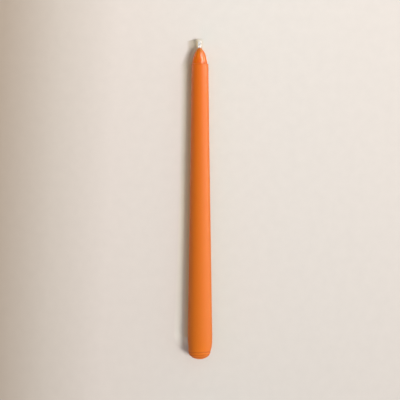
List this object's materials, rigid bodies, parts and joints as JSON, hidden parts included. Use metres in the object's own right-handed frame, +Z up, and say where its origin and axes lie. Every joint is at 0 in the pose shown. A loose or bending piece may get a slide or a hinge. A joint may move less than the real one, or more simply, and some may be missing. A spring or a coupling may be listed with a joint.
{
  "type": "taper candle",
  "caption": "Long slender candle of dyed wax that tapers from a drawn-in, domed butt to a short pointed tip with a plaited wick; stands in a candlestick's socket and burns down.",
  "frame": {"origin": "on the surface that the candle lies on, under the middle of its whole length", "axes": "+X along the candle towards the tip and the wick, +Z up; the candle lies on its side, so its middle line dips towards +X by 0.85 degrees"},
  "size_m": [0.2932, 0.0226, 0.0226],
  "materials": {
    "wax": "satin",
    "cotton": "matte"
  },
  "bodies": {
    "root": {"wax_body": "wax", "wick": "cotton"}
  },
  "joints": []
}
